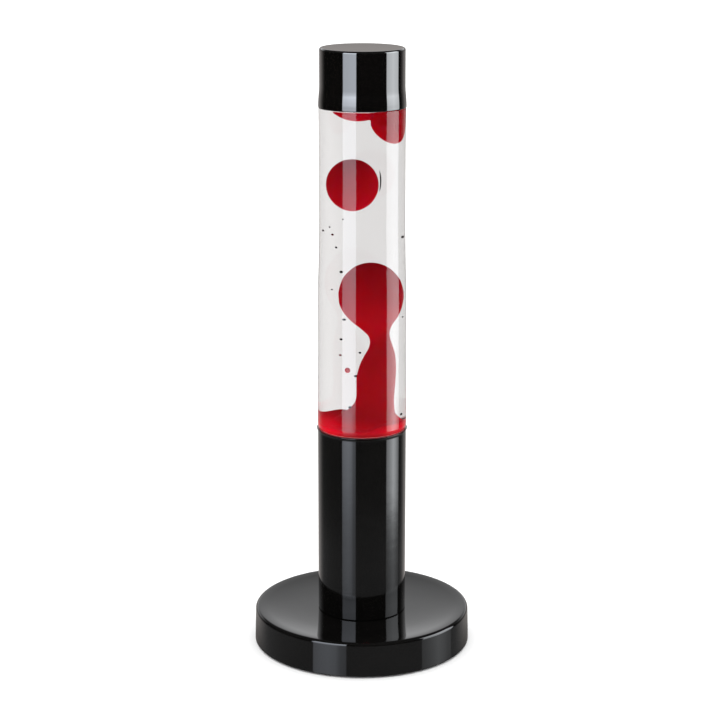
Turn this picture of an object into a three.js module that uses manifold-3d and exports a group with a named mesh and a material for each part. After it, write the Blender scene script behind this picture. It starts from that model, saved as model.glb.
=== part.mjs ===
// Lava lamp: a clear glass bottle of liquid and red wax between a gloss black cap and a gloss black
// column on a round weighted base. Millimetres, +Z up, origin on the table under the lamp's axis.
// The rear of the lamp, where the supply lead enters the base, is +Y.
import * as THREE from "three";
import { mergeVertices } from "three/addons/utils/BufferGeometryUtils.js";
import Module from "manifold-3d";

const wasm = await Module();
wasm.setup();

// ---- driving dimensions ---------------------------------------------------------------------
const GAP = 0.3; // working clearance between separate pieces
const SEG = 32; // facets round the large turned pieces
const SEG_GLASS = 24; // facets round the bottle and what is in it
const SEG_SMALL = 14; // facets round the lampholder and bulb
const SEG_TINY = 8; // facets round screws

const TOTAL_H = 414.5;
const FOOT_PROUD = 1.2; // rubber feet stand the cover's edge this far off the table

const BASE_R = 75.0; // cover at its lower edge
const BASE_R_TOP = 74.45; // cover just under its rounded shoulder
const BASE_CREST_Z = 25.1; // highest ring of the cover's top
const BASE_CREST_R = 71.6;
const BASE_TOP_Z = 23.5; // cover's top where the column stands (top face is slightly dished)
const BASE_WALL = 2.2;

const COLUMN_R = 30.35;
const COLUMN_WALL = 2.0;
const COLUMN_Z0 = 23.7;
const COLUMN_Z1 = 154.9; // mouth
const LIP_R = 31.1; // small outward flare of the mouth

const GLASS_WALL = 2.3;
const BOTTLE_FOOT_R = 26.35; // reduced foot that drops into the column
const BOTTLE_FOOT_Z = 143.4;
const BOTTLE_STEP_Z = 155.2; // underside of the step that rests on the column's mouth
const NECK_R = 14.0;
const NECK_TOP_Z = 404.0;
const FILL_Z = 396.0; // liquid level, in the neck
// outside of the glass, radius against height
const GLASS_OUT = [
  [28.7, 155.2], [30.0, 156.3], [30.42, 159.2], [30.1, 199.2], [30.05, 242], [29.5, 266.5], [29.0, 303],
  [28.95, 345], [29.15, 373.4], [28.7, 375.05],
];

const CAP_Z0 = 375.4;
const CAP_WALL = 1.5;
// outside of the cap, radius against height
const CAP_OUT = [
  [29.42, 375.4], [29.36, 378.2], [29.18, 381.2], [28.97, 383.8], [28.74, 386.3], [28.62, 389.4],
  [28.6, 400], [28.6, 413.0], [28.42, 413.75], [27.85, 414.3], [27.1, 414.5],
];

// wax: centre x, centre y and radius of each level of the pillar and its round head
const PILLAR = [
  // z, x, r
  [156.0, 2.4, 17.6], [162.2, 2.7, 15.2], [167.2, 4.05, 12.45], [173.2, 6.1, 10.15],
  [180.2, 6.8, 9.63], [191.2, 7.16, 9.96], [197.2, 7.69, 9.6],
  [204.2, 8.5, 8.6], [210.2, 9.3, 6.9], [215.2, 9.41, 5.64], [219.2, 8.9, 5.2],
  [223.2, 7.8, 6.1], [227.2, 6.59, 8.27], [232.2, 5.6, 11.9],
  [237.2, 5.1, 14.5], [242.2, 4.8, 16.06], [248.2, 4.68, 16.52],
  [254.2, 4.5, 15.69], [260.2, 4.3, 13.86], [265.2, 4.2, 10.85], [269.2, 4.1, 6.8], [271.5, 4.1, 0],
];
const POOL_Z = 161.4; // flat surface of the molten pool
// free blob: centre, horizontal and vertical half-axes
const BLOB = { x: -5.05, y: 0, z: 324.2, r: 13.1, h: 17.5 };
const BLOB_DOWN = 33; // its travel, from where it is drawn
const BLOB_UP = 8;
// wax gathered under the shoulder: a flat lens and a rounder blob that hang together
const LENS = { x: -2.1, y: 2.0, z: 378.7, r: 14.5, h: 12.1 };
const HANG = { x: 13.1, y: -1.0, z: 365.8, r: 9.1, h: 15.6 };
const CROWN = { x: 9.0, y: 2.0, z: 381.5, r: 16.5, h: 8.0 }; // where they lie against the shoulder
const DROPLET = { x: -7.3, y: 0, z: 196.8, r: 1.4, h: 1.9 };
const COIL_R = 19.0; // ring of wire on the bottle's floor
const COIL_WIRE_R = 1.6;

const HOLDER_R = 14.0;
const BULB_R = 19.5; // small reflector bulb, 39 mm across
const BULB_TOP_Z = 125.4;
const BULB_CONTACT_Z = 59.4; // 66 mm overall
const NIPPLE_R = 5.0; // M10 hollow rod
const SCREW_CIRCLE = 20; // column screws
const PLATE_SCREW_CIRCLE = 64.5;

// ---- helpers --------------------------------------------------------------------------------
// closed mesh -> solid
function solid(geometry) {
  const g = geometry.index ? geometry.toNonIndexed() : geometry.clone();
  g.deleteAttribute("normal");
  g.deleteAttribute("uv");
  const m = mergeVertices(g, 1e-4);
  const idx = m.index.array;
  const tri = [];
  for (let i = 0; i < idx.length; i += 3) {
    const [a, b, c] = [idx[i], idx[i + 1], idx[i + 2]];
    if (a !== b && b !== c && a !== c) tri.push(a, b, c);
  }
  const p = m.attributes.position.array;
  let vol = 0;
  for (let i = 0; i < tri.length; i += 3) {
    const [a, b, c] = [tri[i] * 3, tri[i + 1] * 3, tri[i + 2] * 3];
    vol +=
      p[a] * (p[b + 1] * p[c + 2] - p[b + 2] * p[c + 1]) -
      p[a + 1] * (p[b] * p[c + 2] - p[b + 2] * p[c]) +
      p[a + 2] * (p[b] * p[c + 1] - p[b + 1] * p[c]);
  }
  if (vol < 0) for (let i = 0; i < tri.length; i += 3) [tri[i + 1], tri[i + 2]] = [tri[i + 2], tri[i + 1]];
  return new wasm.Manifold(
    new wasm.Mesh({ numProp: 3, vertProperties: new Float32Array(p), triVerts: new Uint32Array(tri) }),
  );
}

// turned piece about +Z from [radius, height] pairs; the list starts and ends on the axis, or is closed
function turned(profile, seg = SEG) {
  const pts = profile.map(([r, z]) => new THREE.Vector2(r, z));
  if (profile[0][0] !== 0 || profile[profile.length - 1][0] !== 0) pts.push(pts[0].clone());
  return new THREE.LatheGeometry(pts, seg).rotateX(Math.PI / 2);
}
const turnedSolid = (profile, seg) => solid(turned(profile, seg));
const ring = (ri, ro, z0, z1, seg) => turned([[ri, z0], [ro, z0], [ro, z1], [ri, z1]], seg);
const disc = (r, z0, z1, seg) => turned([[0, z0], [r, z0], [r, z1], [0, z1]], seg);

// upright cylinder away from the axis
function post(r, z0, z1, x, y, seg = SEG_TINY) {
  return new THREE.CylinderGeometry(r, r, z1 - z0, seg).rotateX(Math.PI / 2).translate(x, y, (z0 + z1) / 2);
}

// body of round levels whose centres wander sideways; grow adds to every radius
function levels(rows, grow = 0, seg = 14) {
  const r = rows.map((q) => q[2] + (q[2] > 0 ? grow : 0));
  const z = rows.map((q, i) => q[0] + (i === rows.length - 1 ? grow : 0));
  const prof = [[0, z[0]], ...rows.map((q, i) => [r[i], z[i]])];
  if (r[r.length - 1] > 0) prof.push([0, z[z.length - 1]]);
  const g = turned(prof, seg);
  const pos = g.attributes.position;
  for (let i = 0; i < pos.count; i++) {
    const zz = pos.getZ(i);
    let k = 0;
    while (k < rows.length - 2 && z[k + 1] < zz) k++;
    const t = Math.min(1, Math.max(0, (zz - z[k]) / (z[k + 1] - z[k])));
    pos.setX(i, pos.getX(i) + rows[k][1] * (1 - t) + rows[k + 1][1] * t);
  }
  return solid(g);
}

function ellipsoid({ x, y, z, r, h }, grow = 0, seg = 12, rows = 8) {
  const g = new THREE.SphereGeometry(1, seg, rows).rotateX(Math.PI / 2);
  return solid(g.scale(r + grow, r + grow, h + grow).translate(x, y, z));
}

const group = new THREE.Group();
const looks = {};
function material(name, color, roughness, metalness, extra = {}) {
  looks[name] = new THREE.MeshStandardMaterial({ color, roughness, metalness, ...extra });
}
material("gloss_black", 0x0b0a0a, 0.12, 0.0);
material("clear_glass", 0xf2f4f4, 0.03, 0.0, { transparent: true, opacity: 0.25 });
material("clear_liquid", 0xf4f4f2, 0.02, 0.0, { transparent: true, opacity: 0.12 });
material("red_wax", 0xa00614, 0.35, 0.0);
material("steel", 0xb4b4b2, 0.35, 1.0);
material("brass", 0xb8944a, 0.3, 1.0);
material("iron", 0x3c3c3e, 0.7, 0.6);
material("white_plastic", 0xe4e0d6, 0.5, 0.0);
material("black_plastic", 0x18181a, 0.55, 0.0);
material("rubber", 0x202022, 0.9, 0.0);
material("foam", 0xdcdcd8, 0.95, 0.0);
material("mirror_glass", 0xd0d2d4, 0.08, 0.9);
material("ceramic", 0xece8de, 0.4, 0.0);

function add(name, look, shape) {
  const geometry = fromSolid(shape.isBufferGeometry ? solid(shape) : shape);
  const mesh = new THREE.Mesh(geometry, looks[look].clone());
  mesh.name = name;
  group.add(mesh);
  return mesh;
}
function fromSolid(s) {
  const m = s.getMesh();
  const v = new Float32Array(m.numVert * 3);
  for (let i = 0; i < m.numVert; i++) v.set(m.vertProperties.subarray(i * m.numProp, i * m.numProp + 3), i * 3);
  const g = new THREE.BufferGeometry();
  g.setAttribute("position", new THREE.BufferAttribute(v, 3));
  g.setIndex(new THREE.BufferAttribute(m.triVerts, 1));
  g.computeVertexNormals();
  return g;
}
const around = (n, radius, start, fn) => {
  for (let i = 0; i < n; i++) {
    const a = start + (i * 2 * Math.PI) / n;
    fn(radius * Math.cos(a), radius * Math.sin(a), i + 1, a);
  }
};

// ---- base -----------------------------------------------------------------------------------
const inner = BASE_WALL;
let cover = turnedSolid([
  [5.4, BASE_TOP_Z],
  [COLUMN_R + 1, BASE_TOP_Z],
  [50, BASE_TOP_Z + 0.45],
  [66, BASE_CREST_Z - 0.25],
  [BASE_CREST_R, BASE_CREST_Z],
  [73.2, BASE_CREST_Z - 0.45],
  [74.2, BASE_CREST_Z - 1.5],
  [BASE_R_TOP, BASE_CREST_Z - 3.0],
  [BASE_R, FOOT_PROUD],
  [BASE_R - inner, FOOT_PROUD],
  [BASE_R_TOP - inner, BASE_CREST_Z - 4.0],
  [BASE_CREST_R - 1, BASE_CREST_Z - inner],
  [COLUMN_R, BASE_TOP_Z - inner],
  [5.4, BASE_TOP_Z - inner],
]);
around(3, SCREW_CIRCLE, Math.PI / 6, (x, y) => {
  cover = cover.subtract(solid(post(1.9, 15, 30, x, y)));
});
// bosses that the plate screws bite into
around(4, PLATE_SCREW_CIRCLE, Math.PI / 4, (x, y) => {
  cover = cover.add(solid(post(4, 4.4, BASE_TOP_Z - 0.6, x, y, 12)));
  cover = cover.subtract(solid(post(1.7, 4, 14, x, y)));
});
// round hole for the lead's bush, in the rear wall
const GROMMET_Z = 11.5;
cover = cover.subtract(
  solid(new THREE.CylinderGeometry(4.6, 4.6, 20, SEG_SMALL).translate(0, BASE_R - 1, GROMMET_Z)),
);
add("base_cover", "gloss_black", cover);

// ballast: thick ring, slotted to let the lead through
let weight = solid(ring(25, 57.5, 5.0, 15.0, SEG));
weight = weight.subtract(solid(new THREE.BoxGeometry(9, 60, 30).translate(0, 50, 12)));
add("base_weight", "iron", weight);

// closing plate
let plate = solid(disc(71.8, 2.3, 4.1, SEG));
around(4, PLATE_SCREW_CIRCLE, Math.PI / 4, (x, y) => {
  plate = plate.subtract(solid(post(1.9, 0, 8, x, y)));
});
add("base_plate", "black_plastic", plate);
around(4, PLATE_SCREW_CIRCLE, Math.PI / 4, (x, y, i) => {
  const s = turned([[0, 0.9], [2.2, 0.9], [3.1, 1.5], [3.1, 2.1], [1.35, 2.1], [1.35, 12.4], [0, 13.6]], SEG_TINY);
  add("plate_screw_" + i, "steel", s.translate(x, y, 0));
});
around(4, 61, 0, (x, y, i) => {
  const f = turned([[0, 0], [6.2, 0], [6.8, 0.6], [7.0, 2.2], [0, 2.2]], SEG_SMALL);
  add("rubber_foot_" + i, "rubber", f.translate(x, y, 0));
});
// bush in the rear wall for the lead: flanges inside and outside the wall, clear bore
add(
  "cable_grommet",
  "rubber",
  turned([[2.6, 69.7], [6.2, 69.7], [6.2, 71.4], [4.2, 71.5], [4.2, 75.35], [5.9, 75.35], [5.6, 76.8], [2.6, 76.8]], SEG_SMALL)
    .rotateX(-Math.PI / 2)
    .translate(0, 0, GROMMET_Z),
);

// ---- column ---------------------------------------------------------------------------------
const ci = COLUMN_R - COLUMN_WALL;
add(
  "column_tube",
  "gloss_black",
  turned([
    [ci, COLUMN_Z0],
    [COLUMN_R, COLUMN_Z0],
    [COLUMN_R, 149.0],
    [COLUMN_R + 0.12, 151.0],
    [COLUMN_R + 0.4, 153.2],
    [LIP_R, COLUMN_Z1 - 0.35],
    [LIP_R - 0.3, COLUMN_Z1],
    [ci, COLUMN_Z1],
  ]),
);
let foot = solid(
  turned([[5.4, 24.0], [ci - GAP, 24.0], [ci - GAP, 36.0], [ci - GAP - 2, 36.0], [ci - GAP - 2, 28.0], [5.4, 28.0]]),
);
around(3, SCREW_CIRCLE, Math.PI / 6, (x, y) => {
  foot = foot.subtract(solid(post(1.75, 20, 30, x, y)));
});
add("column_foot", "black_plastic", foot);
around(3, SCREW_CIRCLE, Math.PI / 6, (x, y, i) => {
  const s = turned([[0, 18.2], [2.2, 18.2], [3.2, 19.0], [3.2, 21.0], [1.4, 21.0], [1.4, 29.2], [0, 30.2]], SEG_TINY);
  add("column_screw_" + i, "steel", s.translate(x, y, 0));
});
// ring in the column's mouth that centres the bottle's foot and has a ledge under it
add(
  "bottle_seat",
  "black_plastic",
  turned([
    [24.2, 140.6],
    [ci - GAP, 140.6],
    [ci - GAP, COLUMN_Z1 - 0.4],
    [BOTTLE_FOOT_R + 0.35, COLUMN_Z1 - 0.4],
    [BOTTLE_FOOT_R + 0.35, 142.4],
    [24.2, 142.4],
  ]),
);

// ---- lampholder -----------------------------------------------------------------------------
add("threaded_nipple", "steel", ring(3.6, NIPPLE_R, 13.5, 37.4, SEG_SMALL));
const hexNut = (z0, z1) => {
  const s = new THREE.Shape();
  for (let i = 0; i < 6; i++) {
    const a = (i * Math.PI) / 3;
    s[i ? "lineTo" : "moveTo"](8.1 * Math.cos(a), 8.1 * Math.sin(a));
  }
  s.closePath();
  const hole = new THREE.Path().absarc(0, 0, NIPPLE_R + 0.35, 0, 2 * Math.PI, true);
  s.holes.push(hole);
  return new THREE.ExtrudeGeometry(s, { depth: z1 - z0, bevelEnabled: false, curveSegments: 8 }).translate(0, 0, z0);
};
add("nipple_nut_lower", "steel", hexNut(17.9, 20.9));
add("nipple_nut_upper", "steel", hexNut(28.4, 31.4));
add(
  "holder_cap",
  "white_plastic",
  turned([[5.4, 32.0], [9.5, 32.0], [12.6, 36.5], [HOLDER_R, 42.0], [HOLDER_R, 50.6], [12.4, 50.6], [12.4, 43.0], [10.6, 38.6], [5.4, 38.6]], SEG_SMALL),
);
let core = solid(
  turned([[0, 48.0], [11.8, 48.0], [11.8, 57.0], [9.4, 57.0], [9.4, 56.0], [0, 56.0]], SEG_SMALL),
);
for (const s of [-1, 1]) core = core.subtract(solid(post(1.9, 46, 51.2, 6.8 * s, 0)));
add("holder_core", "ceramic", core);
[-1, 1].forEach((s, i) => {
  const t = turned([[0, 44.6], [2.8, 44.6], [2.8, 46.4], [1.5, 46.4], [1.5, 50.6], [0, 50.6]], SEG_TINY);
  add("terminal_screw_" + (i + 1), "brass", t.translate(6.8 * s, 0, 0));
});
add(
  "holder_shell",
  "white_plastic",
  turned([[12.2, 51.0], [HOLDER_R, 51.0], [HOLDER_R, 77.5], [13.2, 79.0], [9.4, 79.0], [9.4, 60.0], [12.2, 57.6]], SEG_SMALL),
);
// metal screw sleeve inside the shell, with its rolled thread
const sleeve = [];
for (let i = 0; i <= 6; i++) sleeve.push([7.75 + (i % 2 ? 0.35 : 0), 60.4 + i * 2.7]);
add("thread_sleeve", "brass", turned([...sleeve, ...sleeve.map(([r, z]) => [r + 0.6, z]).reverse()], SEG_SMALL));
// spring tongue under the bulb's contact
{
  const s = new THREE.Shape();
  s.moveTo(-5.0, 56.3);
  s.lineTo(2.6, 58.2);
  s.lineTo(2.6, 58.8);
  s.lineTo(-5.2, 56.9);
  s.lineTo(-5.9, 56.9);
  s.lineTo(-5.9, 56.3);
  s.closePath();
  const g = new THREE.ExtrudeGeometry(s, { depth: 4, bevelEnabled: false }).rotateX(Math.PI / 2).translate(0, 2, 0);
  add("centre_contact", "brass", g);
}

// ---- bulb -----------------------------------------------------------------------------------
add("bulb_contact", "steel", turned([[0, BULB_CONTACT_Z], [1.6, BULB_CONTACT_Z + 0.2], [2.3, BULB_CONTACT_Z + 1.1], [0, BULB_CONTACT_Z + 1.1]], SEG_TINY));
add("bulb_insulator", "black_plastic", turned([[0, 60.8], [3.0, 60.8], [5.3, 63.3], [5.3, 64.2], [0, 64.2]], SEG_SMALL));
const thread = [];
for (let i = 0; i <= 6; i++) thread.push([6.55 + (i % 2 ? 0.4 : 0), 64.5 + i * 2.7]);
add(
  "bulb_cap",
  "brass",
  turned([[5.6, 63.8], [6.3, 64.0], ...thread, [6.9, 84.4], [6.3, 84.4], [6.3, 81.0], ...thread.slice().reverse().map(([r, z]) => [r - 0.5, z + 0.1])], SEG_SMALL),
);
const bulbOut = [
  [5.6, 79.5], [5.7, 87.5], [11.5, 96.5], [18.2, 107.5], [BULB_R, 114.5], [18.4, 119.6],
  [12.0, 124.0], [0, BULB_TOP_Z],
];
const bulbIn = [
  [0, BULB_TOP_Z - 0.8], [11.7, 123.2], [17.6, 119.2], [18.7, 114.5], [17.4, 107.8],
  [10.8, 97.0], [4.9, 87.7], [4.8, 79.5],
];
add("bulb_glass", "mirror_glass", turned([...bulbOut, ...bulbIn], 24));
add("bulb_stem", "clear_glass", turned([[0, 79.8], [4.3, 79.8], [3.6, 83.0], [1.9, 86.0], [1.7, 98.0], [0, 98.4]], SEG_TINY));
{
  const r = 8;
  const pts = [];
  for (let i = 0; i <= 8; i++) {
    const a = (-Math.PI * 5) / 6 + (i * Math.PI * 5) / 3 / 8;
    pts.push(new THREE.Vector3(r * Math.cos(a), r * Math.sin(a), 107));
  }
  const arc = new THREE.CatmullRomCurve3([new THREE.Vector3(-2.6, -0.9, 99.5), ...pts, new THREE.Vector3(-2.6, 0.9, 99.5)]);
  const c = new THREE.Shape().absarc(0, 0, 0.3, 0, 2 * Math.PI, false);
  add("filament", "steel", new THREE.ExtrudeGeometry(c, { steps: 18, bevelEnabled: false, extrudePath: arc, curveSegments: 3 }));
}

// ---- bottle ---------------------------------------------------------------------------------
const wallIn = GLASS_OUT.slice(2, 9).map(([r, z]) => [r - GLASS_WALL, z]);
const BOTTLE_INNER = [
  // inside of the bottle from the floor to the neck
  [0, BOTTLE_FOOT_Z + 3.2],
  [20.5, BOTTLE_FOOT_Z + 2.8],
  [23.4, BOTTLE_FOOT_Z + 4.4],
  [24.2, 153.6],
  [26.8, 156.5],
  ...wallIn,
  [25.6, 378.4],
  [20.5, 384.6],
  [13.0, 389.8],
  [11.4, 393.4],
];
const bottleOuter = [
  [0, BOTTLE_FOOT_Z + 0.5],
  [20.8, BOTTLE_FOOT_Z],
  [24.8, BOTTLE_FOOT_Z],
  [BOTTLE_FOOT_R, BOTTLE_FOOT_Z + 1.8],
  [BOTTLE_FOOT_R, BOTTLE_STEP_Z],
  ...GLASS_OUT,
  [27.5, 375.4],
  [27.1, 378.4],
  [25.0, 383.4],
  [17.6, 389.6],
  [NECK_R, 394.6],
  [NECK_R, NECK_TOP_Z],
];
add(
  "glass_bottle",
  "clear_glass",
  turned([...bottleOuter, [11.4, NECK_TOP_Z], ...BOTTLE_INNER.slice(1).reverse(), BOTTLE_INNER[0]], SEG_GLASS),
);
// the room inside the bottle, drawn in from the glass by a clearance
const roomProfile = (inset, topZ) => {
  const p = BOTTLE_INNER.map(([r, z], i) => [Math.max(0, i ? r - inset : 0), i < 2 ? z + inset : z]);
  return [...p, [11.4 - inset, topZ], [0, topZ]];
};
const room = turnedSolid(roomProfile(GAP, FILL_Z), SEG_GLASS);

// wax lying in the heated end, with the pillar that rises out of it
const belowPool = (grow) => solid(new THREE.BoxGeometry(90, 90, 40).translate(0, 0, POOL_Z + grow - 20));
const coilRing = (grow) => solid(new THREE.TorusGeometry(COIL_R, COIL_WIRE_R + grow, 6, 24).translate(0, 0, BOTTLE_FOOT_Z + 3.05 + COIL_WIRE_R));
const mound = { x: -13.5, y: 15.0, z: 159.4, r: 9.0, h: 5.2 }; // low swelling at the back of the pool
const heap = (grow) =>
  levels(PILLAR, grow).add(ellipsoid(mound, grow, 12, 8)).add(belowPool(grow));
const wax = heap(0).intersect(room).subtract(coilRing(GAP));
add("wax_pool", "red_wax", wax);
add("heating_coil", "steel", coilRing(0));
const blob = ellipsoid(BLOB);
add("wax_blob", "red_wax", blob);
const hanging = (grow) => ellipsoid(LENS, grow, 14, 10).add(ellipsoid(HANG, grow, 14, 10)).add(ellipsoid(CROWN, grow, 14, 6));
add("wax_top", "red_wax", hanging(0).intersect(room));
add("wax_droplet", "red_wax", ellipsoid(DROPLET, 0, 8, 5));

// liquid: what is left of the room, with hair-thin ways from the free wax so that nothing is shut in
let liquid = room
  .subtract(heap(GAP))
  .subtract(hanging(GAP))
  .subtract(ellipsoid(BLOB, GAP))
  .subtract(ellipsoid(DROPLET, GAP, 8, 5))
  .subtract(solid(post(0.6, BLOB.z, LENS.z - 5, BLOB.x, BLOB.y, 6)))
  .subtract(solid(new THREE.CylinderGeometry(0.6, 0.6, 14, 6).rotateZ(Math.PI / 2).translate(DROPLET.x + 7, 0, DROPLET.z)));
const pieces = liquid.decompose().sort((a, b) => b.volume() - a.volume());
liquid = pieces[0];
add("lamp_fluid", "clear_liquid", liquid);

// closure on the neck
add(
  "bottle_closure",
  "steel",
  turned([[0, 407.4], [14.6, 407.4], [15.2, 406.8], [15.2, 396.6], [14.4, 396.6], [14.4, 405.9], [14.0, 406.6], [0, 406.6]], 36),
);
add("closure_seal", "white_plastic", turned([[0, 404.4], [13.7, 404.4], [13.7, 406.2], [0, 406.2]], 36));

// ---- cap ------------------------------------------------------------------------------------
const capTopIn = TOTAL_H - 2.0;
add(
  "cap_shell",
  "gloss_black",
  turned([
    ...CAP_OUT,
    [0, TOTAL_H],
    [0, capTopIn],
    [26.4, capTopIn],
    [27.1, capTopIn - 0.7],
    [27.1, 390.0],
    [27.5, 385.0],
    [27.95, 380.0],
    [28.05, CAP_Z0],
  ].map(([r, z]) => [r, z])),
);
add("cap_liner", "foam", disc(20.0, 407.9, capTopIn - 0.2, 36));

export default group;
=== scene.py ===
# Lava lamp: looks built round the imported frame. Metres, +Z up, same frame as the CAD.
import bpy, bmesh, math
import numpy as np
from mathutils import Vector, Matrix, Euler, Quaternion


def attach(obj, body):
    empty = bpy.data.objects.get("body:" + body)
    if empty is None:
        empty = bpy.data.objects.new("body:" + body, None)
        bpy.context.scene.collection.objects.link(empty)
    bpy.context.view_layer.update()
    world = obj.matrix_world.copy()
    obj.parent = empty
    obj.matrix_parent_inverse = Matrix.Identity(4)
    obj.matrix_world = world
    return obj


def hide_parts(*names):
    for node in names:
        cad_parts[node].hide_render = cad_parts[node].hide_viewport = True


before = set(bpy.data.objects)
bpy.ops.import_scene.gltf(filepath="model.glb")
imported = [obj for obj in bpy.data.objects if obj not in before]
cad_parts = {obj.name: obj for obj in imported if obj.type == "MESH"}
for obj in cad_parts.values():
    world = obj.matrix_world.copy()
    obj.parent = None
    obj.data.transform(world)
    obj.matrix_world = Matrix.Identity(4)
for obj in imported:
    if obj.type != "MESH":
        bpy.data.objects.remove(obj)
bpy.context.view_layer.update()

MM = 0.001
S = bpy.context.scene
COL = S.collection


# ---------------------------------------------------------------- mesh helpers
def pchip(xs, ys, xq):
    """Monotone cubic through (xs, ys), evaluated at xq."""
    xs, ys, xq = np.asarray(xs, float), np.asarray(ys, float), np.asarray(xq, float)
    h = np.diff(xs)
    d = np.diff(ys) / h
    m = np.zeros(len(xs))
    for i in range(1, len(xs) - 1):
        if d[i - 1] * d[i] > 0:
            w1, w2 = 2 * h[i] + h[i - 1], h[i] + 2 * h[i - 1]
            m[i] = (w1 + w2) / (w1 / d[i - 1] + w2 / d[i])
    m[0] = d[0] if len(xs) == 2 else ((2 * h[0] + h[1]) * d[0] - h[0] * d[1]) / (h[0] + h[1])
    m[-1] = d[-1] if len(xs) == 2 else ((2 * h[-1] + h[-2]) * d[-1] - h[-1] * d[-2]) / (h[-1] + h[-2])
    if m[0] * d[0] < 0: m[0] = 0
    if m[-1] * d[-1] < 0: m[-1] = 0
    k = np.clip(np.searchsorted(xs, xq) - 1, 0, len(xs) - 2)
    t = np.clip((xq - xs[k]) / h[k], 0, 1)
    return ((2*t**3 - 3*t**2 + 1) * ys[k] + (t**3 - 2*t**2 + t) * h[k] * m[k]
            + (-2*t**3 + 3*t**2) * ys[k+1] + (t**3 - t**2) * h[k] * m[k+1])


def outline(points, steps=7):
    """Profile in mm from (r, z) or (r, z, fillet) corners: each fillet becomes an arc with close support
    points on both sides, so that smooth shading stays on the fillet."""
    n = len(points)
    out = []
    for i, p in enumerate(points):
        r, z = p[0], p[1]
        f = p[2] if len(p) > 2 else 0
        if f <= 0 or i == 0 or i == n - 1:
            out.append((r, z))
            continue
        P = np.array([r, z], float)
        A = np.array(points[i-1][:2], float) - P
        B = np.array(points[i+1][:2], float) - P
        la, lb = np.linalg.norm(A), np.linalg.norm(B)
        A, B = A / la, B / lb
        ang = math.acos(max(-1, min(1, float(np.dot(A, B)))))
        if ang > math.pi - 0.02:
            out.append((r, z))
            continue
        t = min(f / math.tan(ang / 2), 0.46 * la, 0.46 * lb)
        rad = t * math.tan(ang / 2)
        c = P + (A + B) / np.linalg.norm(A + B) * (rad / math.sin(ang / 2))
        a0 = P + A * t - c
        a1 = P + B * t - c
        sup = min(0.25 * t + 0.08, 0.04 * min(la, lb) + 0.05)
        out.append(tuple(P + A * (t + sup)))
        th = math.atan2(a0[0]*a1[1] - a0[1]*a1[0], float(np.dot(a0, a1)))
        for k in range(steps + 1):
            s = th * k / steps
            out.append((c[0] + a0[0]*math.cos(s) - a0[1]*math.sin(s), c[1] + a0[0]*math.sin(s) + a0[1]*math.cos(s)))
        out.append(tuple(P + B * (t + sup)))
    return out


def mesh_object(name, verts, faces, mat, smooth=True, sharp=35, mats=None, face_mat=None):
    me = bpy.data.meshes.new(name)
    me.from_pydata([tuple(v) for v in verts], [], faces)
    me.validate()
    ob = bpy.data.objects.new(name, me)
    COL.objects.link(ob)
    for m in (mats or [mat]):
        me.materials.append(m)
    if face_mat is not None:
        me.polygons.foreach_set("material_index", face_mat)
    bm = bmesh.new(); bm.from_mesh(me)
    bmesh.ops.recalc_face_normals(bm, faces=bm.faces)
    bm.to_mesh(me); bm.free()
    finish_shading(me, smooth, sharp)
    return ob


def finish_shading(me, smooth=True, sharp=35):
    me.polygons.foreach_set("use_smooth", [smooth] * len(me.polygons))
    if smooth:
        me.set_sharp_from_angle(angle=math.radians(sharp))
    me.update()


def lathe(name, profile, mat, seg=128, closed=None, mod=None, mats=None, mat_of=None, sharp=35, axis_shift=(0, 0), place=None):
    """Turned mesh. profile: (r, z) mm. mod(theta, r, z) -> new (r, z). Ends on the axis become poles."""
    prof = [(float(a), float(b)) for a, b in profile]
    on_axis = prof[0][0] < 1e-9 and prof[-1][0] < 1e-9
    verts, faces, fm, rows = [], [], [], []
    for r, z in prof:
        if r < 1e-9:
            rows.append([len(verts)])
            verts.append((0, 0, z))
        else:
            row = []
            for k in range(seg):
                th = 2 * math.pi * k / seg
                rr, zz = mod(th, r, z) if mod else (r, z)
                row.append(len(verts))
                verts.append((rr * math.cos(th), rr * math.sin(th), zz))
            rows.append(row)
    pairs = list(zip(range(len(rows) - 1), range(1, len(rows))))
    if not on_axis:
        pairs.append((len(rows) - 1, 0))
    for i, j in pairs:
        a, b = rows[i], rows[j]
        m = mat_of(i) if mat_of else 0
        for k in range(seg):
            k2 = (k + 1) % seg
            if len(a) == 1 and len(b) == 1: continue
            if len(a) == 1: faces.append((a[0], b[k2], b[k]))
            elif len(b) == 1: faces.append((a[k], a[k2], b[0]))
            else: faces.append((a[k], a[k2], b[k2], b[k]))
            fm.append(m)
    V = np.array(verts, float)
    V[:, 0] += axis_shift[0]; V[:, 1] += axis_shift[1]
    V *= MM
    if place is not None:
        V = np.array([tuple(place @ Vector(v)) for v in V])
    return mesh_object(name, V, faces, mat, mats=mats, face_mat=fm if mat_of else None, sharp=sharp)


def applied(ob, sharp=35, smooth=True):
    """ob with its modifiers made real."""
    dg = bpy.context.evaluated_depsgraph_get()
    me = bpy.data.meshes.new_from_object(ob.evaluated_get(dg))
    old = ob.data
    ob.modifiers.clear()
    ob.data = me
    me.name = ob.name
    bpy.data.meshes.remove(old)
    finish_shading(me, smooth, sharp)
    return ob


def boolean(ob, other, kind="DIFFERENCE", sharp=35):
    m = ob.modifiers.new("b", "BOOLEAN")
    m.operation, m.object, m.solver = kind, other, "EXACT"
    bpy.context.view_layer.update()
    applied(ob, sharp)
    bpy.data.objects.remove(other)
    return ob


def joined(name, objs, sharp=35):
    me = bpy.data.meshes.new(name)
    bm = bmesh.new()
    for o in objs:
        bm.from_mesh(o.data)
    bm.to_mesh(me); bm.free()
    for m in objs[0].data.materials:
        me.materials.append(m)
    ob = bpy.data.objects.new(name, me)
    COL.objects.link(ob)
    for o in objs:
        bpy.data.objects.remove(o)
    finish_shading(me, True, sharp)
    return ob


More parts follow.
